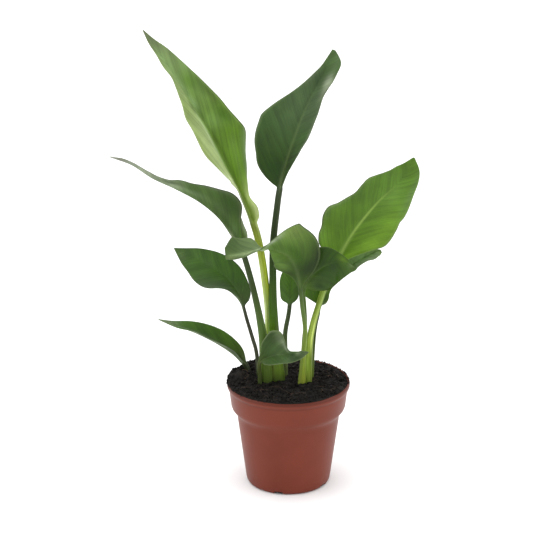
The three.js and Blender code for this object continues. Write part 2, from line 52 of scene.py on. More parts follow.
# Each leaf's shape: spine holds points from the root to the tip, and base is the number of the one where the
# blade starts. stalk holds radii from the foot up, and foot the half width and half depth at the foot. At
# even steps along the blade, face is the direction that its upper side turns to, left and right are the half
# widths, and lift and curl are how far each half rises and rolls, in degrees. neck is a stretch where the
# midrib is deeper: its place, how much deeper, and its reach.
# Its looks, in sRGB: blade and under are colours of the upper and the under side, and stem of the stalk,
# at even steps; at some places these colours hold painted sheen besides the leaf's own colour. rib is
# the colour of the midrib and of a soft band along the margin, rim that of a thin line on the left and
# the right margin, and the left half's colour is painted sheen and light on that half. pale is how far
# the midrib and the band show, and dark how far painted shade darkens the stalk's right side. slant is
# how far the veins run forward for each unit they run out, wave the height of the margin's waves, waves
# their number, and flare the length in which the stalk opens into the blade.
# A patch has its place, from -1 at the root through 0 at the base of the blade to 1 at its tip, its side,
# from -1 at the left margin to 1 at the right, its reach in each, its colour and its strength. Patches
# give the leaf's own tones, and at places painted highlights, sheen, shade and cast shadow.
LEAVES = {}
LEAVES["leaf_tall_new"] = dict(
    spine=[
        (-16, 9, 86), (-18.8, 10.5, 140), (-19.4, 11.5, 175), (-22.1, 12, 205), (-26.8, 13, 238),
        (-33, 15, 263), (-44, 18, 291), (-59, 24, 320), (-79, 32, 358), (-102, 41, 394), (-122, 46, 423),
        (-139, 50, 447),
    ],
    base=5, stalk=[3.6, 3.3, 3.6, 3.6],
    left=[3, 2.8, 2.7, 2.8, 11.8, 18.5, 23.4, 23.4, 22.2, 20.6, 13, 8.3, 4.2, 4.9, 3.5, 3, 0.4],
    right=[5.5, 10.3, 9.6, 19.6, 29.3, 35, 37.5, 31, 27.2, 25, 22, 19, 15.6, 12.4, 9, 4, 0.4],
    lift=[[70, 60, 55, 50, 40, 30, 20], [5]],
    curl=[[0], [-20, -55, -95, -115, -105, -92, -70, -25, 0, 0, 0, 0, 0, 0, 0, 0, 0]],
    slot="leaf_young", slant=3.6, wave=0.5, waves=4, flare=5, pale=(0.05, 0.3), dark=0.1,
    blade=[(104, 128, 34), (74, 108, 10), (86, 116, 38), (102, 128, 70), (96, 104, 76)],
    stem=[(80, 96, 30), (165, 186, 78), (150, 174, 80), (148, 164, 50), (98, 112, 34)],
    under=[(130, 149, 95)], rib=(150, 168, 104), rim=[(140, 156, 104), (66, 84, 34)],
    # Painted sheen and light on the left half, which faces the light.
    lit_left_half=(138, 154, 102),
    # The pale patches on the left half and on the stalk's left side paint sheen and highlights, and the dark
    # one on the stalk's right side paints shade.
    patches=[
        (0.05, -0.7, 0.08, 0.45, (72, 88, 24), 0.95), (0.05, 0.75, 0.1, 0.35, (166, 180, 116), 0.9),
        (0.12, 0.45, 0.05, 0.25, (136, 154, 84), 0.7), (0.13, -0.3, 0.08, 0.25, (62, 82, 12), 0.95),
        (0.22, -0.75, 0.05, 0.3, (172, 186, 136), 0.9), (0.2, -0.22, 0.05, 0.12, (66, 88, 10), 0.85),
        (0.46, -0.2, 0.13, 0.08, (164, 180, 136), 0.8), (0.6, -0.22, 0.04, 0.12, (80, 104, 46), 0.8),
        (0.08, 0, 0.07, 0.12, (126, 154, 56), 0.8), (0.42, 0.03, 0.17, 0.08, (62, 88, 4), 0.9),
        (0.42, 0.55, 0.05, 0.3, (74, 108, 6), 0.7), (0.5, 0.3, 0.04, 0.35, (100, 132, 62), 0.8),
        (0.42, -0.95, 0.1, 0.2, (112, 130, 64), 0.8), (0.6, -0.75, 0.09, 0.4, (104, 122, 66), 0.8),
        (0.61, 0.02, 0.04, 0.12, (118, 146, 90), 0.8), (0.7, 0, 0.05, 0.12, (128, 152, 98), 0.8),
        (0.6, 0.85, 0.1, 0.2, (64, 86, 26), 0.8), (0.5, 0.72, 0.05, 0.2, (52, 86, 0), 0.8),
        (0.7, 0.5, 0.05, 0.4, (74, 106, 30), 0.8), (0.85, -0.1, 0.08, 0.4, (112, 138, 84), 0.8),
        (-0.5, 0.6, 0.1, 0.4, (58, 86, 4), 0.95), (-0.5, -0.75, 0.1, 0.35, (192, 206, 146), 0.9),
        (-0.3, -0.6, 0.12, 0.35, (172, 186, 106), 0.7), (-0.3, 0.5, 0.1, 0.4, (136, 154, 6), 0.8),
        (-0.1, -0.3, 0.1, 0.9, (120, 136, 34), 0.6),
    ],
)
LEAVES["leaf_upper_right"] = dict(
    spine=[
        (-8.3, 2, 86), (-12.9, 5, 141), (-14.3, 6, 176), (-14.6, 9, 206), (-14.3, 15, 243), (-10.6, 20, 278),
        (-8, 23.5, 296), (-4, 27, 314), (2, 31, 333), (9, 35, 352), (16, 39, 370), (26, 43, 391),
        (36, 47, 409), (43, 50, 428),
    ],
    base=6, stalk=[4.2, 3.8, 3.5, 3.1], foot=(8, 4.6),
    left=[1, 16.2, 26.3, 31, 35.6, 38, 38.5, 38, 32.5, 25.8, 19.7, 14.7, 10.6, 7.8, 5.1, 2.8, 0.4],
    right=[1.6, 3.2, 5, 8.2, 10.3, 11.6, 13.6, 14.8, 15.6, 16, 15.4, 15.1, 17.5, 20.5, 19.2, 14.2, 3],
    lift=[[10], [30, 30, 28, 25, 15, 0, 0]], curl=[[0], [0, 0, 0, 0, 20, 70, 90, 30]],
    slant=1.1, wave=1.0, pale=(0.3, 0.35), dark=0.15,
    # The greyer upper stops paint sheen on the upper part of the blade.
    blade=[(30, 52, 4), (34, 58, 10), (50, 75, 32), (60, 81, 46), (59, 81, 44), (64, 87, 44)],
    stem=[(84, 104, 34), (96, 126, 30), (60, 94, 6), (38, 62, 10), (34, 48, 18), (50, 62, 38)],
    under=[(110, 128, 94)], rib=(108, 126, 77), rim=[(78, 96, 66), (80, 96, 66)],
    # The grey patches near the tip paint sheen, and the bright patches on the stalk's left side paint
    # highlights.
    patches=[
        (0.03, 0.1, 0.06, 0.14, (104, 118, 76), 0.8), (0.75, 0.78, 0.08, 0.24, (124, 132, 110), 0.95),
        (0.79, 0.52, 0.05, 0.18, (118, 130, 104), 0.7), (0.45, 1, 0.25, 0.12, (88, 98, 78), 0.8),
        (0.2, 0.3, 0.15, 0.22, (26, 48, 0), 0.8), (0.12, -0.3, 0.07, 0.5, (20, 50, 0), 0.7),
        (0.5, -0.3, 0.12, 0.3, (66, 88, 52), 0.6), (0.78, -0.9, 0.08, 0.3, (84, 98, 70), 0.7),
        (0.8, 0.45, 0.04, 0.2, (132, 142, 118), 0.7), (-0.7, 0.8, 0.08, 0.5, (82, 98, 40), 0.8),
        (-0.5, 0.3, 0.08, 0.6, (44, 68, 0), 0.7), (-0.1, 0.8, 0.1, 0.5, (62, 72, 46), 0.7),
        (-0.86, -0.7, 0.08, 0.4, (126, 144, 66), 0.9), (-0.7, -0.8, 0.09, 0.5, (108, 150, 24), 0.7),
        (-0.91, 0, 0.03, 3, (40, 46, 22), 0.6),
    ],
)
LEAVES["leaf_left_arching"] = dict(
    spine=[
        (-21.2, -2.6, 86), (-22.6, -2.6, 139), (-26.9, -3, 172), (-35.1, -5, 212), (-44, -7, 244),
        (-54, -9, 263), (-66, -11, 280), (-84, -14, 296), (-107, -17, 309.5), (-128, -19, 320),
        (-147, -21, 333.2), (-167, -24, 341.6),
    ],
    base=4, stalk=[4.6, 4.4, 3.6, 3.1], foot=(4.4, 7.1),
    face=[(0.9, 0, 0.4), (0.6, 0.15, 0.8), (0.1, 0.35, 0.9), (0, 0.41, 0.91), (0, 0.41, 0.91)],
    left=[1, 6, 12, 18.2, 28.4, 29, 22.5, 17, 12, 9.6, 5.8, 4.8, 4.5, 3.6, 3.4, 3.4, 1.4],
    right=[3.5, 11.5, 14, 16.8, 18.8, 18.9, 17, 13, 9, 6.8, 5.5, 4.7, 4, 3.4, 2.8, 2.4, 0.4],
    lift=[[55, 60], [70, 62]],
    slant=1.4, wave=0.8, flare=8, pale=(0, 0.3), dark=0.1,
    blade=[(64, 88, 28), (69, 87, 33), (75, 94, 46)],
    stem=[(66, 82, 30), (80, 104, 34), (61, 85, 28), (40, 57, 12), (42, 56, 24)],
    # The pale last stops of the under side paint sheen on the thin tail.
    under=[(56, 82, 22), (46, 70, 14), (64, 88, 38), (124, 134, 110), (140, 148, 132)], rib=(110, 125, 90),
    rim=[(48, 58, 34), (44, 58, 26)],
    patches=[
        (0.13, -0.35, 0.06, 0.35, (70, 92, 50), 0.6), (0.5, -0.22, 0.1, 0.18, (98, 118, 80), 0.7),
        (0.3, -0.22, 0.1, 0.2, (66, 88, 42), 0.6), (0.28, -0.7, 0.07, 0.35, (30, 56, 0), 0.8),
        (0.2, -1, 0.06, 0.12, (84, 90, 66), 0.8), (0.4, -1, 0.1, 0.12, (78, 88, 68), 0.8),
        (0.1, -0.9, 0.06, 0.3, (52, 84, 0), 0.7), (0.6, -0.2, 0.05, 0.35, (134, 148, 118), 0.8),
        (0.11, 0, 0.05, 0.12, (106, 114, 86), 0.7), (0.6, -0.5, 0.06, 0.2, (44, 60, 26), 0.6),
        (0.94, 0, 0.04, 2, (98, 98, 84), 0.8), (0.1, 0.95, 0.1, 0.2, (124, 138, 104), 0.8),
        (-0.9, 0, 0.04, 3, (44, 50, 22), 0.6),
    ],
)
LEAVES["leaf_left_middle"] = dict(
    spine=[
        (-27.4, 13, 86), (-30.7, 15, 127), (-34.9, 17, 144), (-40.4, 19, 163), (-43.5, 20, 175),
        (-48, 21, 188), (-58, 24, 202), (-69, 26, 211), (-83, 29, 219), (-97, 31, 227), (-112, 32, 233),
    ],
    base=4, stalk=[2.6, 2, 1.9, 1.7],
    left=[1, 3.5, 7, 14.4, 20.8, 21, 16, 11, 0.4],
    right=[2, 11.8, 15.4, 17.7, 17.8, 15.4, 11, 4.8, 0.4],
    slant=1.1, wave=0.7, waves=2.5, flare=6, pale=(0.05, 0.2),
    blade=[(50, 70, 26), (44, 72, 14), (46, 78, 12), (56, 86, 30), (56, 80, 32)],
    stem=[(48, 60, 30), (70, 80, 50), (66, 70, 52), (58, 60, 46), (50, 54, 36)], under=[(88, 108, 73)],
    rib=(84, 108, 60), rim=[(66, 82, 50), (40, 56, 16)],
    patches=[
        (0.35, -0.7, 0.3, 0.4, (58, 76, 46), 0.8), (0.04, -0.5, 0.08, 0.4, (100, 116, 86), 0.7),
        (0.1, 0.15, 0.06, 0.3, (40, 58, 12), 0.8), (0.1, -0.85, 0.06, 0.25, (108, 122, 92), 0.8),
        (0.45, -1, 0.15, 0.2, (84, 98, 76), 0.8), (0.6, 0.1, 0.05, 0.3, (60, 88, 36), 0.7),
        (0.9, -0.5, 0.06, 0.5, (78, 100, 56), 0.8),
    ],
)
LEAVES["leaf_left_low"] = dict(
    spine=[
        (-36, 22, 86), (-39, 25.5, 101), (-42, 28, 111), (-50, 29.5, 120), (-62, 31, 128.6),
        (-78, 32, 137.6), (-96, 33, 145.7), (-113, 33, 151.6), (-129, 32, 158.2),
    ],
    base=2, stalk=[2.6, 2.8], face=[(0.5, -0.4, 0.75), (0.1, -0.55, 0.83), (0.1, -0.55, 0.83)],
    left=[2, 7, 9, 10, 9, 8, 5, 2, 0.4],
    right=[2, 9.4, 13, 14.2, 13, 10.6, 7.4, 3.6, 0.4],
    lift=[[56], [20]],
    slant=1.5, wave=0.4, waves=2, flare=6, pale=(0.2, 0.2),
    blade=[(58, 72, 26), (54, 82, 14), (52, 84, 16), (58, 90, 28), (92, 106, 74)],
    stem=[(34, 42, 16), (42, 48, 26)], under=[(100, 116, 85)], rib=(100, 114, 84),
    patches=[
        (0.65, -0.08, 0.3, 0.16, (112, 124, 100), 0.8), (0.9, 0.3, 0.1, 0.4, (100, 112, 84), 0.6),
        (0.38, -0.35, 0.12, 0.25, (108, 122, 90), 0.8), (0.2, -0.6, 0.1, 0.5, (30, 48, 0), 0.85),
    ],
)
LEAVES["leaf_front_small"] = dict(
    spine=[
        (-27.6, -7.8, 86), (-27.5, -8.7, 113), (-27.6, -11, 129), (-19, -14, 136), (-8, -18, 140),
        (5, -22, 141), (20, -26, 146),
    ],
    base=2, stalk=[2.2, 2], face=[(0, -0.75, 0.66)],
    left=[1, 4, 7.2, 12.5, 17, 20.8, 24.6, 25.2, 22.8, 12, 5.2, 4, 3.6, 3, 2.8, 1.6, 0.4],
    right=[1, 7, 10.5, 12, 12.5, 10.5, 8, 5.5, 0.4],
    lift=[[40], [20]],
    wave=0.4, waves=2, pale=(0.12, 0.6),
    blade=[(56, 76, 22), (46, 70, 24), (54, 78, 34), (48, 72, 30), (66, 80, 48)],
    stem=[(46, 54, 26), (62, 74, 34), (70, 80, 36)], under=[(100, 116, 85)], rib=(110, 124, 84),
    patches=[
        (0.5, -0.75, 0.07, 0.3, (88, 100, 70), 0.8), (0.56, -0.6, 0.07, 0.18, (112, 124, 98), 0.85),
        (0.36, -0.85, 0.09, 0.35, (34, 52, 10), 0.85), (0.42, 0, 0.07, 0.15, (64, 86, 44), 0.7),
        (0.69, -0.1, 0.05, 0.5, (22, 44, 10), 0.85), (0.78, 0.55, 0.1, 0.5, (20, 42, 0), 0.85),
        (0.3, 0.8, 0.15, 0.4, (38, 64, 0), 0.6), (0.8, -0.3, 0.05, 0.4, (94, 106, 80), 0.8),
    ],
)
LEAVES["leaf_right_bright"] = dict(
    spine=[
        (20.6, -2.2, 86), (21, -1, 138), (24, 1, 161), (30, 3, 183), (38, 5, 207), (47, 7, 226),
        (59, 12, 248), (72, 17, 266), (87, 22, 283), (104, 28, 298), (115, 31, 311), (122, 34, 325),
    ],
    base=5, stalk=[3.4, 3.6, 3.1, 2.8],
    left=[2, 22, 28.4, 30.2, 35, 35.6, 29.8, 26.2, 23.5, 23.8, 23.7, 20.7, 17.8, 14.5, 11.2, 5.9, 0.4],
    right=[2, 8.5, 15, 21.7, 27.5, 32.5, 34, 33.7, 32.3, 29.8, 29.1, 26.3, 22, 18.2, 14.8, 9.9, 1.3],
    lift=[[12], [12]],
    slot="leaf_young", slant=1.3, wave=1.2, waves=4, pale=(0.7, 0.3), dark=0.1,
    blade=[(76, 110, 20), (70, 102, 18), (71, 103, 26), (74, 107, 31), (67, 97, 22)],
    stem=[(98, 110, 40), (130, 154, 52), (146, 168, 66), (116, 138, 48), (108, 130, 46)],
    under=[(110, 130, 79)], rib=(138, 166, 78), rim=[(72, 88, 54), (96, 120, 60)],
    patches=[
        (0.28, 0.8, 0.34, 0.35, (95, 130, 30), 0.85), (0.1, -0.85, 0.1, 0.35, (98, 136, 40), 0.85),
        (0.4, -1, 0.3, 0.12, (76, 96, 58), 0.8), (0.78, 0.9, 0.15, 0.2, (78, 100, 58), 0.6),
        (0.15, 0.25, 0.12, 0.2, (64, 96, 2), 0.6), (0.5, -0.65, 0.12, 0.3, (62, 92, 20), 0.7),
        # On the stalk the bright patches paint highlights, and the dark one along its right side paints
        # shade.
        (0.68, 0.15, 0.1, 0.3, (84, 116, 42), 0.7), (-0.5, 0.45, 0.14, 0.25, (210, 228, 124), 0.9),
        (-0.28, 0.55, 0.14, 0.3, (156, 180, 96), 0.8), (-0.75, -0.6, 0.1, 0.4, (176, 206, 88), 0.8),
        (-0.85, 0.6, 0.12, 0.4, (92, 106, 42), 0.8), (-0.7, 0.65, 0.07, 0.4, (88, 106, 28), 0.9),
        (-0.3, -0.7, 0.14, 0.4, (80, 102, 8), 0.9), (-0.4, 1, 0.25, 0.2, (50, 68, 12), 0.95),
        (-0.72, 0.25, 0.07, 0.3, (100, 124, 22), 0.8),
    ],
)
LEAVES["leaf_front_twisted"] = dict(
    spine=[
        (13, -6, 86), (15.3, -10, 137), (16.9, -14, 164), (14, -19, 189), (12, -23, 209), (9, -29, 229),
        (2, -34, 245), (-9, -40, 254), (-20, -44, 259), (-32, -48, 258), (-45, -51, 254), (-59, -53, 253),
    ],
    base=4, stalk=[2.9, 2.4, 2.2, 2.1], foot=(4.4, 3), neck=(0.66, 2.6, 0.05),
    face=[
        (0.1, 0.95, 0.2), (0.1, 0.95, 0.2), (0, 0.95, 0.2), (0, 0.95, 0.2), (0, 0.95, 0.2), (0, 0.75, 0.66),
        (0, -0.95, 0.3), TOWARDS_VIEWER, TOWARDS_VIEWER,
    ],
    left=[1, 4, 10, 18, 25, 29, 31.6, 32, 33, 25.5, 6, 3, 3, 3.5, 3.5, 4, 3],
    right=[1, 3, 6, 12, 18, 19.5, 18.5, 15.5, 11.5, 6.5, 2.5, 6, 12, 15, 17, 17.5, 8],
    slot="leaf_mid", wave=0.7, flare=6, pale=(0.15, 0.35), dark=0.1,
    blade=[(70, 98, 30), (70, 98, 30), (76, 102, 40), (86, 106, 64), (60, 80, 38)],
    stem=[(146, 142, 62), (124, 142, 46), (110, 132, 46), (80, 102, 44), (54, 74, 28)],
    under=[(46, 70, 10), (47, 71, 12), (72, 102, 32), (76, 104, 36), (76, 104, 36)], rib=(118, 134, 88),
    rim=[(54, 68, 36), (62, 76, 46)],
    # The dark patches low on the blade paint shade where its lobes curve away from the light, and the whitish
    # ones at the pinch paint highlights.
    patches=[
        (0.2, -0.55, 0.08, 0.5, (22, 42, 4), 0.9), (0.26, -0.95, 0.1, 0.25, (26, 40, 10), 0.85),
        (0.21, 0.62, 0.06, 0.35, (20, 36, 6), 0.85), (0.4, 0.75, 0.06, 0.2, (92, 118, 62), 0.7),
        (0.6, -0.7, 0.04, 0.25, (150, 160, 140), 0.8), (0.55, -0.05, 0.08, 0.25, (58, 84, 18), 0.7),
        (0.5, -0.8, 0.09, 0.35, (98, 118, 56), 0.8), (0.3, 0.7, 0.08, 0.4, (82, 110, 46), 0.8),
        (0.36, -0.22, 0.12, 0.15, (42, 72, 0), 0.8), (0.68, -0.25, 0.05, 0.35, (142, 156, 124), 0.8),
        (0.79, 0.02, 0.04, 0.1, (44, 64, 24), 0.85), (0.96, -0.4, 0.05, 0.5, (92, 108, 62), 0.8),
        (0.8, -0.3, 0.09, 0.25, (138, 156, 112), 0.8), (0.87, 0, 0.1, 0.1, (136, 156, 104), 0.8),
        (0.92, 0.5, 0.08, 0.5, (56, 78, 34), 0.6), (-0.6, 0.6, 0.25, 0.4, (128, 148, 72), 0.7),
    ],
)
LEAVES["leaf_right_front"] = dict(
    spine=[
        (16, 3, 86), (15.5, 1.5, 138), (17, -5, 166), (16, -11, 190), (15, -14, 205), (20, -17, 217),
        (29, -20, 228), (41, -23, 236), (53, -27, 238), (65, -29, 233),
    ],
    base=4, stalk=[2.4, 2.1, 2, 1.9],
    left=[1, 6, 12, 17, 19.5, 17, 9, 3, 0.4],
    right=[1, 12, 18.7, 21.6, 21.4, 20.6, 20, 16, 0.4],
    slot="leaf_mid", slant=1.1, wave=0.7, flare=6, pale=(0.35, 0.2),
    blade=[(70, 94, 34), (50, 74, 18), (34, 60, 2), (36, 63, 2), (56, 78, 30)],
    stem=[(90, 102, 31), (85, 106, 42), (69, 94, 34)], under=[(79, 100, 58)], rib=(85, 112, 49),
    rim=[(50, 62, 30), (44, 60, 20)],
    # The first patch paints the shadow that the twisted leaf in front casts on this one.
    patches=[
        (0.24, 0.65, 0.11, 0.35, (18, 42, 0), 0.85), (0.18, 0, 0.09, 0.15, (46, 68, 14), 0.7),
        (0.64, 0.12, 0.1, 0.28, (22, 46, 0), 0.8), (0.8, -0.45, 0.06, 0.45, (76, 104, 24), 0.85),
        (0.93, -0.2, 0.05, 0.3, (88, 108, 66), 0.85), (0.45, 0.3, 0.1, 0.3, (27, 53, 0), 0.6),
    ],
)
LEAVES["leaf_right_back"] = dict(
    spine=[
        (23, 6.5, 86), (25.5, 8, 140), (27.5, 9, 160), (30, 10, 172), (31.5, 10.8, 180), (40, 13, 197),
        (52, 15, 212), (66, 17, 223), (79, 19, 230), (91, 21, 235),
    ],
    base=4, stalk=[2.4, 2, 1.9, 1.8],
    left=[12, 20.5, 21.6, 22, 22, 21.4, 20, 18.6, 17, 15, 13, 11.5, 10, 8.2, 6, 3.3, 0.4],
    right=[1, 5, 6.2, 3.5, 2.5, 3.3, 4.5, 5.8, 8, 8, 9.2, 7, 7.2, 8.2, 9.8, 8, 3],
    lift=[[10], [45, 55]],
    slot="leaf_mid", wave=0.5, pale=(0.4, 0.3),
    blade=[(58, 91, 4), (58, 90, 10), (64, 96, 28), (96, 128, 68), (92, 118, 58)],
    stem=[(84, 100, 30), (88, 108, 40), (52, 66, 16), (50, 66, 14)], under=[(81, 102, 62)],
    rib=(120, 141, 73),
    patches=[
        (0.8, 0.75, 0.15, 0.3, (112, 126, 96), 0.7), (0.08, 0.8, 0.1, 0.3, (94, 112, 64), 0.7),
    ],
)
LEAVES["leaf_small_back"] = dict(
    spine=[
        (-2, 14, 86), (-2.4, 19, 130), (-2.3, 23, 148), (0.7, 27, 164), (2, 28, 175), (2, 29, 186),
        (3, 30, 200), (6, 31, 214), (9, 32, 227),
    ],
    base=4, stalk=[2.6, 2.5, 2.4, 2.2],
    left=[2, 8.4, 9.8, 10.6, 10.8, 9.8, 8.6, 6, 0.4],
    right=[2, 8, 9.6, 10.6, 11, 11, 10, 7.7, 0.4],
    wave=0.4, waves=2, pale=(0.15, 0.15), dark=0.3,
    blade=[(72, 100, 44), (68, 102, 24), (68, 106, 20), (68, 104, 20), (50, 84, 8)],
    stem=[(84, 98, 54), (88, 102, 54), (76, 90, 54), (66, 78, 50)], under=[(79, 100, 58)], rib=(84, 108, 60),
    patches=[
        (0.25, -0.7, 0.25, 0.35, (78, 108, 50), 0.6), (0.3, 0.75, 0.2, 0.3, (50, 78, 14), 0.8),
    ],
)

# What a leaf has where its row says nothing else.
USUAL_LEAF = dict(
    face=[TOWARDS_VIEWER], lift=[[10], [10]], curl=[[0], [0]], slot="leaf_dark", slant=1.2, waves=3, flare=4,
    dark=0.2,
)

# How finely a leaf is meshed. Crowding draws rows towards the tip, and columns towards the midrib.
SAMPLES_PER_SPAN = 40
STALK_ROW_SPACING = 3.0
BLADE_ROW_SPACING = 1.1
ROW_CROWDING = 1.06
HALF_COLUMNS = 12
COLUMN_CROWDING = 1.15

# A half blade narrower than FULL_LIFT_WIDTH or FULL_WAVE_WIDTH rises or waves less.
BLADE_THICKNESS = 0.55
MARGIN_THICKNESS = 0.3
SMALLEST_HALF_WIDTH = 0.35
FULL_LIFT_WIDTH = 8.0
FULL_WAVE_WIDTH = 10

# RIB_REACH and RIB_COLOUR_REACH are how far the midrib and its colour reach out where it has no depth, and
# VEIN_START is where the veins' ribs rise. SHEATH_SHARE is the share of the stalk that its foot widens.
RIB_TIP_DEPTH = 0.25
RIB_REACH = 0.55
RIB_COLOUR_REACH = 0.35
VEIN_PITCH = 2.6
VEIN_HEIGHT = 0.06
VEIN_START = (1.0, 4.0)
VEIN_DRIFT_SIZE = 16.0
BAND_WIDTH = 0.8
SHEATH_SHARE = 0.6
CHANNEL_ANGLE = 32


def smoothstep(x, low=0.0, high=1.0):
    t = np.clip((np.asarray(x, float) - low) / (high - low), 0, 1)
    return t * t * (3 - 2 * t)


def unit(vectors):
    return vectors / np.linalg.norm(vectors, axis=-1, keepdims=True)


def smooth_noise(points, scale, seed):
    """Noise from -1 to 1 at points given in millimetres. scale is the size of its features."""
    flat = points.reshape(-1, 3) / scale + np.array([seed * 17.3, seed * 5.1, seed * 9.7])
    values = np.array([noise.noise(Vector(p)) for p in flat])
    return values.reshape(points.shape[:-1])


def along(values, u):
    """Smooth curve through evenly spaced values, numbers or points, read at the fractions u."""
    points = np.asarray(values, float)
    u = np.clip(np.atleast_1d(np.asarray(u, float)), 0, 1)
    if len(points) == 1:
        return np.repeat(points, len(u), axis=0)
    padded = np.concatenate([[2 * points[0] - points[1]], points, [2 * points[-1] - points[-2]]])
    place = u * (len(points) - 1)
    index = np.minimum(place.astype(int), len(points) - 2)
    w = place - index
    if points.ndim == 2:
        w = w[:, None]
    p0, p1, p2, p3 = (padded[index + k] for k in range(4))
    from_slope = (p2 - p0) / 2
    to_slope = (p3 - p1) / 2
    cubic = (2 * p1 - 2 * p2 + from_slope + to_slope) * w**3
    square = (3 * p2 - 3 * p1 - 2 * from_slope - to_slope) * w * w
    return cubic + square + from_slope * w + p1


class Spine:
    """A leaf's spine, read by the distance from the root."""

    def __init__(self, leaf):
        self.leaf = leaf
        self.spine = np.array(leaf["spine"], float) + PLANT_OFFSET
        spans = len(self.spine) - 1
        self.t = np.linspace(0, 1, SAMPLES_PER_SPAN * spans + 1)
        points = along(self.spine, self.t)
        steps = np.linalg.norm(np.diff(points, axis=0), axis=1)
        self.length = np.concatenate([[0], np.cumsum(steps)])
        self.blade_start = self.length[SAMPLES_PER_SPAN * leaf["base"]]
        self.blade_length = self.length[-1] - self.blade_start

    def frame_at(self, distance, u):
        """Points on the spine, and the directions there out of the upper side and to the leaf's right."""
        t = np.interp(distance, self.length, self.t)
        step = 1e-3
        ahead = along(self.spine, np.minimum(t + step, 1))
        behind = along(self.spine, np.maximum(t - step, 0))
        tangent = unit(ahead - behind)
        face = along(self.leaf["face"], u)
        face = unit(face - tangent * np.sum(face * tangent, axis=1, keepdims=True))
        return along(self.spine, t), face, np.cross(tangent, face)


def half_blade(leaf, frames, u, half, outward):
    """Points of the left (-1) or right (1) half blade at fractions of its length and of its half width.

    The directions square to it and the half widths come with them.
    """
    middle, face, side = (values[:, None] for values in frames)
    number = 0 if half < 0 else 1
    width = np.maximum(SMALLEST_HALF_WIDTH, along(leaf["left" if half < 0 else "right"], u))[:, None]
    lift = np.radians(along(leaf["lift"][number], u))[:, None] * np.minimum(1, width / FULL_LIFT_WIDTH)
    curl = np.radians(along(leaf["curl"][number], u))[:, None]
    curl = np.where(np.abs(curl) < 1e-4, 1e-4, curl)
    angle = lift + curl * outward
    across = (np.sin(angle) - np.sin(lift)) / curl * width * half
    up = (np.cos(lift) - np.cos(angle)) / curl * width
    points = middle + across[..., None] * side + up[..., None] * face
    normals = -half * np.sin(angle)[..., None] * side + np.cos(angle)[..., None] * face
    return points, normals, width


def margin_waves(leaf, u, signed, width):
    """How far the waves move the blade up or down: most at its margins, and not at its base and tip."""
    phase = np.where(signed < 0, 0.0, 1.9) + leaf["seed"]
    swell = np.sin(2 * np.pi * leaf["waves"] * u)[:, None]
    waves = leaf["wave"] * signed**2 * np.sin(2 * np.pi * leaf["waves"] * u[:, None] + phase)
    waves += 0.35 * leaf["wave"] * np.abs(signed) * swell
    waves *= smoothstep(u, 0.03, 0.2)[:, None] * smoothstep(1 - u, 0.0, 0.12)[:, None]
    return waves * np.minimum(1, width / FULL_WAVE_WIDTH)


def vein_ribs(leaf, sheet, forward, lateral, signed):
    """How far the fine ribs along the veins move the blade up or down."""
    drift = 0.8 * smooth_noise(sheet, VEIN_DRIFT_SIZE, leaf["seed"])
    veins = np.sin(2 * np.pi * (forward / VEIN_PITCH + drift))
    veins *= VEIN_HEIGHT * smoothstep(np.abs(lateral), *VEIN_START)
    return veins * smoothstep(1 - np.abs(signed), 0.0, 0.12)


def both(values):
    """Values of the upper side, followed by those of the under side, which runs back the other way."""
    return np.concatenate([values, values[:, ::-1]], axis=1)


def stalk_part(leaf, spine):
    """Rings around the stalk, what the material reads at each point, and the last ring around its middle."""
    v = np.linspace(0, 1, int(spine.blade_start / STALK_ROW_SPACING) + 1)
    distance = v * spine.blade_start
    middle, face, side = spine.frame_at(distance, np.zeros_like(v))
    count = 2 * HALF_COLUMNS + 1
    angles = np.radians(np.concatenate([np.linspace(168, 12, count), np.linspace(-6, -174, count)]))
    radius = along(leaf["stalk"], v)[:, None]
    half_width = half_depth = radius
    if "foot" in leaf:
        sheath = 1 - smoothstep(v, 0.0, SHEATH_SHARE)[:, None]
        half_width = radius + (leaf["foot"][0] - leaf["stalk"][0]) * sheath
        half_depth = radius + (leaf["foot"][1] - leaf["stalk"][0]) * sheath
    channel = np.exp(-(((np.degrees(angles) - 90) / CHANNEL_ANGLE) ** 2))
    out = 1 - 0.5 * smoothstep(v, 0.1, 0.9)[:, None] * channel
    rings = (
        middle[:, None]
        + (half_width * out * np.cos(angles))[..., None] * side[:, None]
        + (half_depth * out * np.sin(angles))[..., None] * face[:, None]
    )
    zeros = np.zeros(rings.shape[:2])
    marks = dict(
        under=zeros, stalk=zeros + 1, rib=zeros, edge=zeros, side=zeros + np.cos(angles),
        lateral=radius * angles, forward=zeros + distance[:, None], place=zeros + (v[:, None] - 1),
    )
    return rings, marks, rings[-1] - middle[-1]


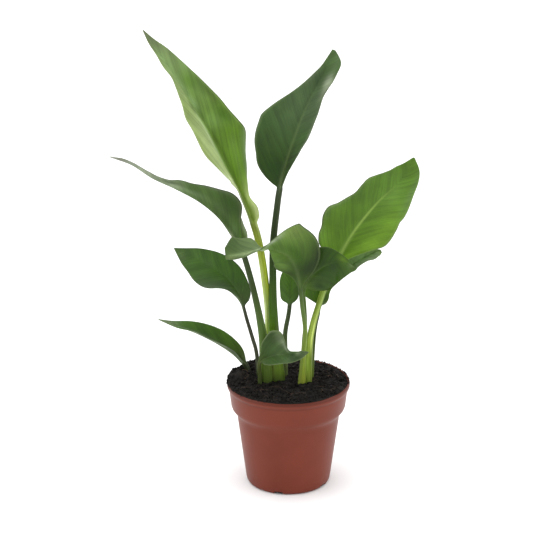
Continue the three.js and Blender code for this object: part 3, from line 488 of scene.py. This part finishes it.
def blade_part(leaf, spine, stalk_ring):
    """Rings around the blade, which grow out of stalk_ring, and what the material reads at each point."""
    u = np.linspace(0, 1, int(spine.blade_length / BLADE_ROW_SPACING) + 1)[1:]
    u = 1 - (1 - u) ** ROW_CROWDING
    outward = np.linspace(0, 1, HALF_COLUMNS + 1) ** COLUMN_CROWDING
    distance = spine.blade_start + u * spine.blade_length
    frames = spine.frame_at(distance, u)
    left, left_normal, left_width = half_blade(leaf, frames, u, -1, outward[::-1])
    right, right_normal, right_width = half_blade(leaf, frames, u, 1, outward)
    sheet = np.concatenate([left[:, :-1], right], axis=1)
    normal = np.concatenate([left_normal[:, :-1], right_normal], axis=1)
    normal[:, HALF_COLUMNS] = unit(left_normal[:, -1] + right_normal[:, 0])
    signed = np.concatenate([-outward[:0:-1], outward])[None, :].repeat(len(u), axis=0)
    width = np.where(signed < 0, left_width, right_width)
    lateral = signed * width
    forward = (distance - spine.blade_start)[:, None] - leaf["slant"] * np.abs(lateral)
    forward /= math.hypot(1, leaf["slant"])
    waves = margin_waves(leaf, u, signed, width)
    sheet = sheet + normal * (waves + vein_ribs(leaf, sheet, forward, lateral, signed))[..., None]

    half_thickness = 0.5 * (MARGIN_THICKNESS + (BLADE_THICKNESS - MARGIN_THICKNESS) * (1 - signed**4))
    rib_depth = leaf["stalk"][-1] * 1.25 * (1 - np.sqrt(u)) + RIB_TIP_DEPTH * np.sqrt(u)
    if "neck" in leaf:
        neck, extra_depth, reach = leaf["neck"]
        rib_depth = rib_depth + extra_depth * np.exp(-(((u - neck) / reach) ** 2))
    rib_depth = rib_depth[:, None]
    rib_reach = RIB_REACH + 0.6 * rib_depth
    rib = np.exp(-((lateral / rib_reach) ** 2))
    groove = 0.35 * rib_depth * np.exp(-((lateral / (0.5 * rib_reach)) ** 2))
    upper = sheet + normal * (half_thickness - groove)[..., None]
    under = sheet - normal * (half_thickness + rib * rib_depth)[..., None]
    rings = np.concatenate([upper, under[:, ::-1]], axis=1)

    opened = smoothstep((distance - spine.blade_start) / leaf["flare"])[:, None]
    rings = (frames[0][:, None] + stalk_ring) * (1 - opened[..., None]) + rings * opened[..., None]
    rib_colour = np.exp(-((lateral / (RIB_COLOUR_REACH + 0.45 * rib_depth)) ** 2))
    band = smoothstep(np.abs(signed) * width, width - BAND_WIDTH, width - 0.1)
    zeros = np.zeros(rings.shape[:2])
    marks = dict(
        under=np.concatenate([0 * signed, 0 * signed + 1], axis=1), stalk=zeros + (1 - opened),
        rib=both(rib_colour) * opened, edge=both(np.where(width > 2, band, 0)),
        side=both(signed), lateral=both(lateral), forward=both(forward), place=zeros + u[:, None],
    )
    return rings, marks


def patch_colours(leaf, place, side):
    """The colour that a leaf's patches give each point, and in the fourth number how much it counts there."""
    colour = np.zeros(place.shape + (4,))
    for middle, across, length, width, tint, strength in leaf["patches"]:
        share = strength * np.exp(-(((place - middle) / length) ** 2) - ((side - across) / width) ** 2)
        colour += share[..., None] * (np.array(linear(tint)) - colour)
    colour[..., :3] /= np.maximum(colour[..., 3:], 1e-4)
    return colour


# ---------------------------------------- meshes


def ring_faces(rows, count, first=0):
    """Quads of a skin over rows of rings, whose points start at number first."""
    index = first + np.arange(rows * count).reshape(rows, count)
    following = np.roll(index, -1, axis=1)
    quads = np.stack([index[:-1], following[:-1], following[1:], index[1:]], axis=-1)
    return quads.reshape(-1, 4).tolist()


def closed_faces(rows, count, first=0):
    """The same skin, with a cap on its first and on its last ring."""
    last = first + (rows - 1) * count
    caps = [list(range(first, first + count))[::-1], list(range(last, last + count))]
    return ring_faces(rows, count, first) + caps


def around_axis(radius, angle, z):
    """The point at a radius and an angle around the pot's axis."""
    return [radius * math.cos(angle), radius * math.sin(angle), z]


def new_mesh(name, points, faces, material, smooth=True):
    mesh = bpy.data.meshes.new(name)
    mesh.from_pydata((np.asarray(points) * MM).tolist(), [], faces)
    mesh.validate()
    mesh.update()
    if smooth:
        mesh.shade_smooth()
    mesh.materials.append(material)
    piece = bpy.data.objects.new(name, mesh)
    bpy.context.scene.collection.objects.link(piece)
    return piece


def mark(piece, name, values, kind="FLOAT", field="value"):
    """Stores one number or colour a point, which a material reads by that name."""
    attribute = piece.data.attributes.new(name, kind, "POINT")
    attribute.data.foreach_set(field, np.asarray(values, np.float32).ravel())


# ---------------------------------------- materials


def linear(colour):
    """An sRGB colour, 0 to 255, as the linear colour that a shader uses."""
    parts = [c / 255 for c in colour]
    return [p / 12.92 if p <= 0.04045 else ((p + 0.055) / 1.055) ** 2.4 for p in parts] + [1.0]


class Nodes:
    """Short names for making a material's nodes."""

    def __init__(self, name):
        self.material = bpy.data.materials.new(name)
        self.material.use_nodes = True
        self.tree = self.material.node_tree
        self.shader = self.tree.nodes["Principled BSDF"]

    def add(self, kind, inputs=(), **settings):
        node = self.tree.nodes.new(kind)
        for key, value in settings.items():
            setattr(node, key, value)
        for key, value in dict(inputs).items():
            if isinstance(value, bpy.types.NodeSocket):
                self.tree.links.new(value, node.inputs[key])
            else:
                node.inputs[key].default_value = value
        return node

    def attribute(self, name, output="Fac"):
        return self.add("ShaderNodeAttribute", attribute_name=name).outputs[output]

    def position(self):
        return self.add("ShaderNodeTexCoord").outputs["Object"]

    def math(self, operation, a, b=0.0):
        return self.add("ShaderNodeMath", {0: a, 1: b}, operation=operation).outputs[0]

    def times(self, a, b):
        return self.math("MULTIPLY", a, b)

    def line(self, value, slope, start):
        """A value times a slope, and a start added to it."""
        return self.math("ADD", self.times(value, slope), start)

    def around_one(self, value, much):
        """A value from 0 to 1 as a factor that varies by this much around 1."""
        return self.line(value, much, 1 - much / 2)

    def spread(self, value, low, high):
        """0 at low, 1 at high, and a soft step between them."""
        inputs = {"Value": value, "From Min": low, "From Max": high}
        return self.add("ShaderNodeMapRange", inputs, interpolation_type="SMOOTHSTEP").outputs[0]

    def mix(self, share, a, b):
        return self.add("ShaderNodeMix", {0: share, 6: a, 7: b}, data_type="RGBA").outputs[2]

    def scaled(self, colour, factor):
        """A colour times a factor that varies."""
        inputs = {0: 1.0, 6: colour, 7: factor}
        return self.add("ShaderNodeMix", inputs, data_type="RGBA", blend_type="MULTIPLY").outputs[2]

    def darker(self, colour, share):
        return self.scaled(colour, (share, share, share, 1))

    def ramp(self, value, colours):
        """Colours at even steps of a value from 0 to 1."""
        node = self.add("ShaderNodeValToRGB", {0: value})
        stops = node.color_ramp.elements
        stops[0].color = linear(colours[0])
        stops[1].color = linear(colours[-1])
        for number, colour in enumerate(colours[1:-1], 1):
            stops.new(number / (len(colours) - 1)).color = linear(colour)
        return node.outputs["Color"]

    def noise(self, vector, scale, detail=3.0, roughness=0.55):
        values = {"Vector": vector, "Scale": scale, "Detail": detail, "Roughness": roughness}
        return self.add("ShaderNodeTexNoise", values).outputs["Fac"]

    def bump(self, height, strength, distance, normal=None):
        values = {"Height": height, "Strength": strength, "Distance": distance}
        if normal is not None:
            values["Normal"] = normal
        return self.add("ShaderNodeBump", values).outputs["Normal"]

    def finish(self, colour, roughness, normal, specular):
        self.tree.links.new(colour, self.shader.inputs["Base Color"])
        self.tree.links.new(roughness, self.shader.inputs["Roughness"])
        self.tree.links.new(normal, self.shader.inputs["Normal"])
        self.shader.inputs["Specular IOR Level"].default_value = specular
        return self.material


# Broad streaks, narrow streaks and threads along a leaf's veins: about how wide and how long they are.
STREAK_SIZES = [(7.0, 60.0), (2.2, 30.0), (0.8, 14.0)]
# How far streaks, threads and the stalk's stripes vary a colour.
STREAKS = 0.4
THREADS = 0.16
STRIPES = 0.3


def leaf_material(name, leaf):
    n = Nodes("mat_" + name)
    under, stalk, rib, edge, side = (n.attribute(key) for key in ("under", "stalk", "rib", "edge", "side"))
    lateral, forward, place = (n.attribute(key) for key in ("lateral", "forward", "place"))

    def drawn_out(sideways, onwards, detail):
        """Noise with this many features in a millimetre of the marks lateral and forward."""
        inputs = {0: n.times(lateral, sideways), 1: n.times(forward, onwards), 2: leaf["seed"]}
        return n.noise(n.add("ShaderNodeCombineXYZ", inputs).outputs[0], 1.0, detail)

    broad, narrow, threads = (drawn_out(1 / length, 1 / width, 2.0) for width, length in STREAK_SIZES)
    mottle = n.noise(n.position(), 55.0, 3.0)
    tone = n.math("ADD", n.times(broad, 0.4), n.times(narrow, 0.3))
    tone = n.math("ADD", tone, n.times(mottle, 0.3))
    tone = n.around_one(n.spread(tone, 0.36, 0.64), STREAKS)
    tone = n.times(tone, n.around_one(n.spread(threads, 0.35, 0.65), THREADS))

    upper = n.ramp(place, leaf["blade"])
    # Painted sheen and light on the left half of the blade.
    if "lit_left_half" in leaf:
        lit_left_share = n.times(n.spread(side, -0.14, -0.34), n.spread(place, 0.95, 0.5))
        upper = n.mix(n.times(lit_left_share, 0.9), upper, linear(leaf["lit_left_half"]))
    colour = n.mix(under, upper, n.ramp(place, leaf["under"]))
    colour = n.mix(stalk, colour, n.ramp(n.math("ADD", place, 1.0), leaf["stem"]))
    # Patches: the leaf's own tones, with painted highlights, sheen, shade and cast shadow at places.
    colour = n.mix(n.attribute("patch", "Alpha"), colour, n.attribute("patch", "Color"))

    rib_share, band_share = leaf["pale"]
    midrib = n.times(n.times(rib, rib_share), n.spread(place, 0.8, 0.4))
    blade = n.mix(midrib, n.scaled(colour, tone), linear(leaf["rib"]))
    blade = n.mix(n.times(edge, band_share), blade, linear(leaf["rib"]))
    if "rim" in leaf:
        rim = n.mix(n.spread(side, -0.1, 0.1), *(linear(tint) for tint in leaf["rim"]))
        line = n.spread(n.math("ABSOLUTE", side), 0.94, 0.985)
        blade = n.mix(n.times(line, 0.8), blade, rim)
    stripes = drawn_out(1.1, 0.02, 3.0)
    stem = n.scaled(colour, n.around_one(n.spread(stripes, 0.35, 0.65), STRIPES))
    # Painted shade darkens the stalk's right side.
    shade = n.times(n.spread(side, 0.1, 0.9), leaf["dark"])
    stem = n.mix(shade, stem, n.darker(stem, 0.35))
    colour = n.mix(stalk, blade, stem)

    roughness = n.math("ADD", n.times(under, 0.1), n.times(mottle, 0.12))
    roughness = n.math("ADD", roughness, 0.38)
    normal = n.bump(threads, 0.3, 0.0002)
    normal = n.bump(narrow, 0.3, 0.0006, normal)
    return n.finish(colour, roughness, normal, specular=0.2)


def build_leaf(name, leaf):
    spine = Spine(leaf)
    stalk, stalk_marks, stalk_ring = stalk_part(leaf, spine)
    blade, blade_marks = blade_part(leaf, spine, stalk_ring)
    rings = np.concatenate([stalk, blade])
    marks = {key: np.concatenate([stalk_marks[key], blade_marks[key]]) for key in stalk_marks}
    faces = closed_faces(*rings.shape[:2])
    piece = new_mesh(name + "_visual", rings.reshape(-1, 3), faces, leaf_material(name, leaf))
    mark(piece, "patch", patch_colours(leaf, marks["place"], marks["side"]), "FLOAT_COLOR", "color")
    for key, values in marks.items():
        mark(piece, key, values)
    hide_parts(name)
    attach(piece, "root")


# ---------------------------------------- pot

POT_SIDES = 240
# Radii and heights from the middle of the base up the outside to the lip, and down the inside.
POT_PROFILE = [
    (0, 0), (20, 0), (20.8, 1.5), (33.2, 1.5), (34, 0), (38.2, 0), (39.2, 0.1), (40.6, 0.9), (41.6, 2.5),
    (42.2, 5.0), (50.4, 66.5), (50.7, 70.0), (51.2, 72.4), (52.5, 74.6), (54.4, 76.8), (56.0, 79.0),
    (56.8, 81.4), (58.7, 97.0), (59.2, 99.0), (60.3, 100.2), (60.9, 101.8), (61, 104.2), (60.6, 105.5),
    (59.9, 106.0), (59.2, 105.6), (58.8, 104.8), (57.5, 100.0), (55.3, 80.5), (49.2, 71.5), (40.4, 7.0),
    (38.2, 3.3), (0, 3.3),
]
NOTCH_COUNT = 5
NOTCH_WIDTH = 9.0
NOTCH_HEIGHT = 3.0
NOTCH_RADIUS = 41.0
NOTCH_SPACING = 2 * math.pi / NOTCH_COUNT
FOOT_RING_INNER_RADIUS = 34
FIRST_NOTCH_ANGLE = math.radians(-104)
# Painted shade under the lip's overhang, and painted shade with some dirt on the lip: lowest and highest
# place, and how strong it is.
LIP_SHADE_AND_DIRT = [(97.5, 100.2, 0.3), (102.5, 108.0, 0.6)]
LIP_SHADE_AND_DIRT_SOFT = 0.8


def pot_material():
    n = Nodes("mat_pot")
    position = n.position()
    cloud = n.noise(position, 22.0, 4.0)
    grain = n.noise(position, 1400.0, 2.0)
    scuff = n.noise(position, 120.0, 6.0, 0.75)
    colour = n.mix(n.spread(cloud, 0.3, 0.7), linear((103, 45, 31)), linear((110, 49, 34)))
    colour = n.mix(n.times(n.spread(scuff, 0.62, 0.75), 0.1), colour, linear((150, 92, 76)))
    height = n.add("ShaderNodeSeparateXYZ", {0: position}).outputs["Z"]
    # Each band darkens the colour: painted shade under the lip's overhang, painted shade and dirt on the lip.
    for low, high, strength in LIP_SHADE_AND_DIRT:
        above = n.spread(height, (low - LIP_SHADE_AND_DIRT_SOFT) * MM, (low + LIP_SHADE_AND_DIRT_SOFT) * MM)
        below = n.spread(height, (high + LIP_SHADE_AND_DIRT_SOFT) * MM, (high - LIP_SHADE_AND_DIRT_SOFT) * MM)
        colour = n.mix(n.times(n.times(above, below), strength), colour, n.darker(colour, 0.4))
    return n.finish(colour, n.line(cloud, 0.12, 0.36), n.bump(grain, 0.25, 0.00008), specular=0.16)


def build_pot():
    angles = np.linspace(0, 2 * np.pi, POT_SIDES, endpoint=False)
    from_notch = (angles - FIRST_NOTCH_ANGLE + NOTCH_SPACING / 2) % NOTCH_SPACING
    in_notch = np.abs(from_notch - NOTCH_SPACING / 2) < NOTCH_WIDTH / 2 / NOTCH_RADIUS
    points, rows = [], []
    for radius, z in POT_PROFILE:
        if radius == 0:
            rows.append([len(points)] * POT_SIDES)
            points.append([0, 0, z])
            continue
        rows.append(list(range(len(points), len(points) + POT_SIDES)))
        on_foot_ring = radius >= FOOT_RING_INNER_RADIUS and z < NOTCH_HEIGHT
        for angle, notched in zip(angles, in_notch):
            points.append(around_axis(radius, angle, NOTCH_HEIGHT if on_foot_ring and notched else z))
    faces = []
    for lower, upper in zip(rows[:-1], rows[1:]):
        for k in range(POT_SIDES):
            corners = [lower[k], lower[(k + 1) % POT_SIDES], upper[(k + 1) % POT_SIDES], upper[k]]
            faces.append(list(dict.fromkeys(corners)))
    piece = new_mesh("pot_visual", points, faces, pot_material())
    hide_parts("pot")
    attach(piece, "root")


# ---------------------------------------- soil

SOIL_LEVEL = 104.4
SOIL_RADIUS = 58.4
SOIL_SPACING = 1.0
SOIL_SIDES = 300
# The soil's rough top: height, size and seed of its lumps. It calms down towards the pot's wall.
ROUGHNESS = [(1.5, 9.0, 3), (1.0, 3.6, 5), (0.5, 1.7, 8)]
CALM_WIDTH = 3.0
# Where soil lies over the lip: how far out it reaches, how high, the middle of that side of the pot, and the
# radii between which the soil rises to it.
SPILL_REACH = 2.2
SPILL_Z = 106.3
SPILL_ANGLE = math.radians(205)
SPILL_RISE = (SOIL_RADIUS - 6, SOIL_RADIUS - 0.6)
# The soil's edge turns down inside the pot to here.
SKIRT_RADIUS = 57.0
SKIRT_Z = 96.0
# Mounds: x, y, height and reach.
MOUNDS = [
    (-38, 44, 3.5, 14), (-54, 24, 3, 9), (-50, 8, 5, 12), (-44, 2, 5, 12),
    (-46, -26, 2, 14), (6, -44, 2, 24), (36, 24, 1.5, 22), (38, -16, 2, 20),
]

# Crumbs on the soil, on the lip at the left and at the back, and in the drain notches. Sizes are the
# smallest, what is added at most, and the power that makes large ones rare.
CRUMBS = 2600
CRUMB_SIZES = (0.5, 1.9, 3)
RIM_CRUMBS = 260
RIM_CRUMB_SIZES = (0.5, 0.9, 2)
BACK_CRUMBS = 45
BACK_CRUMB_SIZES = (0.5, 0.8, 2)
NOTCH_CRUMBS = 70
NOTCH_CRUMB_SIZE = 0.75
CRUMB_LIFT = 0.5
# A crumb reaches out by at most this many times its size, and stays within half the object's depth.
CRUMB_REACH = 1.8
HALF_DEPTH = 60.9
# Crumbs on the lip lie at these radii, and hang down where they pass its edge.
LIP_Z = 106.2
LIP_RADIUS = 59.4
LIP_EDGE = 60.2
OVERHANG = 1.7
BACK_LIP_RADIUS = 59.9
NOTCH_CRUMB_RADII = (37.5, 41.2)
NOTCH_CRUMB_Z = (1.4, 2.2)
LUMP_CORNERS = np.array([[1, 0, 0], [-1, 0, 0], [0, 1, 0], [0, -1, 0], [0, 0, 1], [0, 0, -1]], float)
LUMP_FACES = [(0, 2, 4), (2, 1, 4), (1, 3, 4), (3, 0, 4), (2, 0, 5), (1, 2, 5), (3, 1, 5), (0, 3, 5)]

# Fibres: their radii, number of steps, length of a step, height over the soil, and rise in the middle.
FIBRES = 50
FIBRE_SIDES = 5
FIBRE_RADII = (0.12, 0.32)
FIBRE_STEPS = (5, 12)
FIBRE_STEP = 1.4
FIBRE_LIFT = 0.9
FIBRE_ARCH = 1.1


def spill_share(x, y):
    """How much the soil on this side of the pot lies over the lip, from 0 to 1."""
    angle = np.arctan2(y, x)
    return smoothstep(np.cos(angle - SPILL_ANGLE) + 0.15 * np.sin(9 * angle), -0.75, -0.2)


def soil_height(x, y):
    x, y = np.asarray(x, float), np.asarray(y, float)
    z = np.full(np.shape(x), SOIL_LEVEL)
    for middle_x, middle_y, height, reach in MOUNDS:
        z += height * np.exp(-((x - middle_x) ** 2 + (y - middle_y) ** 2) / reach**2)
    rise = spill_share(x, y) * smoothstep(np.hypot(x, y), *SPILL_RISE)
    return z + rise * np.maximum(0, SPILL_Z - z)


def soil_material():
    n = Nodes("mat_soil")
    position = n.position()
    coarse = n.noise(position, 180.0, 5.0, 0.65)
    fine = n.noise(position, 900.0, 4.0, 0.7)
    flecks = n.noise(position, 420.0, 2.0)
    colour = n.mix(n.spread(coarse, 0.35, 0.7), linear((11, 10, 9)), linear((30, 26, 22)))
    colour = n.mix(n.spread(flecks, 0.68, 0.78), colour, linear((62, 44, 34)))
    normal = n.bump(coarse, 0.6, 0.0012, n.bump(fine, 0.8, 0.0006))
    return n.finish(colour, n.line(fine, 0.2, 0.72), normal, specular=0.15)


def build_soil_surface(material):
    rings = int(SOIL_RADIUS / SOIL_SPACING)
    radii = np.linspace(0, SOIL_RADIUS, rings + 1)[1:]
    angles = np.linspace(0, 2 * np.pi, SOIL_SIDES, endpoint=False)
    x = np.outer(radii, np.cos(angles))
    y = np.outer(radii, np.sin(angles))
    reach = 1 + spill_share(x, y) * SPILL_REACH / SOIL_RADIUS
    x, y = x * reach, y * reach
    flat = np.stack([x, y, 0 * x], axis=-1)
    rough = sum(height * smooth_noise(flat, size, seed) for height, size, seed in ROUGHNESS)
    calm = smoothstep(SOIL_RADIUS - np.hypot(x, y), 0.0, CALM_WIDTH)
    z = soil_height(x, y) + np.where(calm > 0, rough * calm, 0.3 * np.abs(rough))
    points = np.stack([x, y, z], axis=-1).reshape(-1, 3).tolist()
    faces = ring_faces(rings, SOIL_SIDES)
    middle = len(points)
    points.append([0, 0, float(soil_height(0, 0))])
    faces += [[middle, k, (k + 1) % SOIL_SIDES] for k in range(SOIL_SIDES)]
    outer, skirt = (rings - 1) * SOIL_SIDES, len(points)
    points += [around_axis(SKIRT_RADIUS, angle, SKIRT_Z) for angle in angles]
    for k in range(SOIL_SIDES):
        following = (k + 1) % SOIL_SIDES
        faces.append([outer + k, skirt + k, skirt + following, outer + following])
    faces.append([skirt + k for k in range(SOIL_SIDES - 1, -1, -1)])
    piece = new_mesh("soil_surface", points, faces, material)
    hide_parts("soil")
    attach(piece, "root")


def add_lump(rng, points, faces, size, place):
    """Adds an octahedron, stretched and turned, with each corner pushed out by its own amount."""
    corners = LUMP_CORNERS * rng.uniform(0.6, 1.5, 3) * rng.uniform(0.75, 1.2, (6, 1)) * size
    for axis, angle in enumerate(rng.uniform(0, 2 * np.pi, 3)):
        a, b = [k for k in range(3) if k != axis]
        c, s = math.cos(angle), math.sin(angle)
        first, second = corners[:, a].copy(), corners[:, b].copy()
        corners[:, a] = c * first - s * second
        corners[:, b] = s * first + c * second
    faces += [[len(points) + k for k in face] for face in LUMP_FACES]
    points += (corners + place).tolist()


def crumb_size(rng, smallest, added, power):
    return smallest + added * rng.uniform() ** power


def widest_radius(angle, size):
    """How far out a crumb of this size may lie before it leaves the object's depth."""
    return (HALF_DEPTH - CRUMB_REACH * size) / max(abs(math.sin(angle)), 0.5)


def build_crumbs(material):
    rng = np.random.default_rng(12)
    points, faces = [], []
    for _ in range(CRUMBS):
        radius = (SOIL_RADIUS - 0.6) * math.sqrt(rng.uniform())
        x, y, _ = around_axis(radius, rng.uniform(0, 2 * math.pi), 0)
        reach = 1 + float(spill_share(x, y)) * (SPILL_REACH - 0.4) / SOIL_RADIUS
        size = crumb_size(rng, *CRUMB_SIZES)
        room = HALF_DEPTH - CRUMB_REACH * size
        x, y = x * reach, max(-room, min(room, y * reach))
        add_lump(rng, points, faces, size, [x, y, float(soil_height(x, y)) + CRUMB_LIFT])
    for _ in range(RIM_CRUMBS):
        angle = SPILL_ANGLE + rng.normal(0, 0.75)
        size = crumb_size(rng, *RIM_CRUMB_SIZES)
        # Left of the pot a crumb may hang over the lip, and in front of it only up to the lip's edge
        reach = LIP_RADIUS + OVERHANG * max(0.0, -math.cos(angle)) ** 2 * rng.uniform()
        radius = min(reach, widest_radius(angle, size))
        z = LIP_Z - 1.4 * max(0, radius - LIP_EDGE)
        add_lump(rng, points, faces, size, around_axis(radius, angle, z))
    for _ in range(BACK_CRUMBS):
        angle = rng.uniform(-0.15, 1.1)
        size = crumb_size(rng, *BACK_CRUMB_SIZES)
        radius = min(BACK_LIP_RADIUS, widest_radius(angle, size))
        add_lump(rng, points, faces, size, around_axis(radius, angle, LIP_Z))
    for number in range(NOTCH_CRUMBS):
        angle = FIRST_NOTCH_ANGLE + 2 * math.pi * number / NOTCH_COUNT
        angle += rng.uniform(-0.42, 0.42) * NOTCH_WIDTH / NOTCH_RADIUS
        place = around_axis(rng.uniform(*NOTCH_CRUMB_RADII), angle, rng.uniform(*NOTCH_CRUMB_Z))
        add_lump(rng, points, faces, NOTCH_CRUMB_SIZE, place)
    piece = new_mesh("soil_crumbs", points, faces, material, smooth=False)
    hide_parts("soil")
    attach(piece, "root")


def fibre_material():
    n = Nodes("mat_fibres")
    position = n.position()
    tint = n.noise(position, 90.0, 3.0)
    fine = n.noise(position, 700.0, 2.0)
    colour = n.mix(n.spread(tint, 0.35, 0.65), linear((42, 34, 28)), linear((84, 64, 50)))
    return n.finish(colour, n.line(fine, 0.2, 0.65), n.bump(fine, 0.4, 0.0002), specular=0.3)


def build_fibres():
    """Thin roots and fibres that lie on the soil."""
    rng = np.random.default_rng(31)
    points, faces = [], []
    for _ in range(FIBRES):
        radius = (SOIL_RADIUS - 5) * math.sqrt(rng.uniform())
        x, y, _ = around_axis(radius, rng.uniform(0, 2 * math.pi), 0)
        heading = rng.uniform(0, 2 * math.pi)
        thick = rng.uniform(*FIBRE_RADII)
        steps = int(rng.integers(*FIBRE_STEPS))
        path = []
        for step in range(steps):
            lift = FIBRE_LIFT + FIBRE_ARCH * math.sin(math.pi * step / (steps - 1))
            path.append((x, y, float(soil_height(x, y)) + lift))
            heading += rng.normal(0, 0.45)
            ahead = x + FIBRE_STEP * math.cos(heading), y + FIBRE_STEP * math.sin(heading)
            if math.hypot(*ahead) > SOIL_RADIUS - 1.5:
                heading += math.pi / 2
            x += FIBRE_STEP * math.cos(heading)
            y += FIBRE_STEP * math.sin(heading)
        path = np.array(path)
        tangents = unit(np.gradient(path, axis=0))
        across = unit(np.cross(tangents, [0, 0, 1]))
        upward = np.cross(across, tangents)
        faces += closed_faces(steps, FIBRE_SIDES, len(points))
        for row, centre in enumerate(path):
            radius = thick * (1 - 0.7 * row / steps)
            for k in range(FIBRE_SIDES):
                angle = 2 * math.pi * k / FIBRE_SIDES
                offset = across[row] * math.cos(angle) + upward[row] * math.sin(angle)
                points.append((centre + radius * offset).tolist())
    piece = new_mesh("soil_fibres", points, faces, fibre_material())
    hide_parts("soil")
    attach(piece, "root")


# ---------------------------------------- scene

CAMERA_PITCH = math.radians(19.16)
CAMERA_DISTANCE = 1800
CAMERA_AIM = (-11.27, 0, 214.1)
FOCAL_PIXELS = 1851.9
PHOTO_PIXELS = 554
SENSOR = 36.0
FLOOR_HALF_SIZE = 8000
# Soft lights: direction, strength and softness in degrees.
LIGHTS = {
    "light_top": ((0.1, -0.1, -1), 2.0, 60),
    "light_left": ((1, 0.25, -0.25), 0.9, 50),
    "light_right": ((-1, 0.25, -0.25), 1.1, 50),
}


def build_camera():
    data = bpy.data.cameras.new("camera")
    data.sensor_width = SENSOR
    data.lens = SENSOR * FOCAL_PIXELS / PHOTO_PIXELS
    data.clip_start = 0.05
    data.clip_end = 20
    camera = bpy.data.objects.new("camera", data)
    bpy.context.scene.collection.objects.link(camera)
    back = Vector((0, -math.cos(CAMERA_PITCH), math.sin(CAMERA_PITCH)))
    camera.location = (Vector(CAMERA_AIM) + back * CAMERA_DISTANCE) * MM
    camera.rotation_mode = "QUATERNION"
    camera.rotation_quaternion = (-back).to_track_quat("-Z", "Y")
    bpy.context.scene.camera = camera


def build_light(name, direction, strength, softness):
    data = bpy.data.lights.new(name, "SUN")
    data.energy = strength
    data.angle = math.radians(softness)
    light = bpy.data.objects.new(name, data)
    light.rotation_mode = "QUATERNION"
    light.rotation_quaternion = Vector(direction).to_track_quat("-Z", "Y")
    bpy.context.scene.collection.objects.link(light)


def build_floor():
    n = Nodes("mat_floor")
    n.shader.inputs["Base Color"].default_value = (0.86, 0.86, 0.86, 1)
    n.shader.inputs["Roughness"].default_value = 0.9
    n.shader.inputs["Specular IOR Level"].default_value = 0.0
    size = FLOOR_HALF_SIZE
    corners = [(-size, -size, 0), (size, -size, 0), (size, size, 0), (-size, size, 0)]
    floor = new_mesh("floor", corners, [(0, 1, 2, 3)], n.material, smooth=False)


def build_world():
    world = bpy.data.worlds.new("world")
    world.use_nodes = True
    background = world.node_tree.nodes["Background"]
    background.inputs["Color"].default_value = (1, 1, 1, 1)
    background.inputs["Strength"].default_value = 1.0
    bpy.context.scene.world = world
    bpy.context.scene.view_settings.view_transform = "Standard"


for number, (leaf_name, leaf_values) in enumerate(LEAVES.items(), 1):
    build_leaf(leaf_name, USUAL_LEAF | leaf_values | {"seed": number})
soil = soil_material()
build_soil_surface(soil)
build_crumbs(soil)
build_fibres()
build_pot()
build_world()
build_floor()
build_camera()
for light_name, light_values in LIGHTS.items():
    build_light(light_name, *light_values)
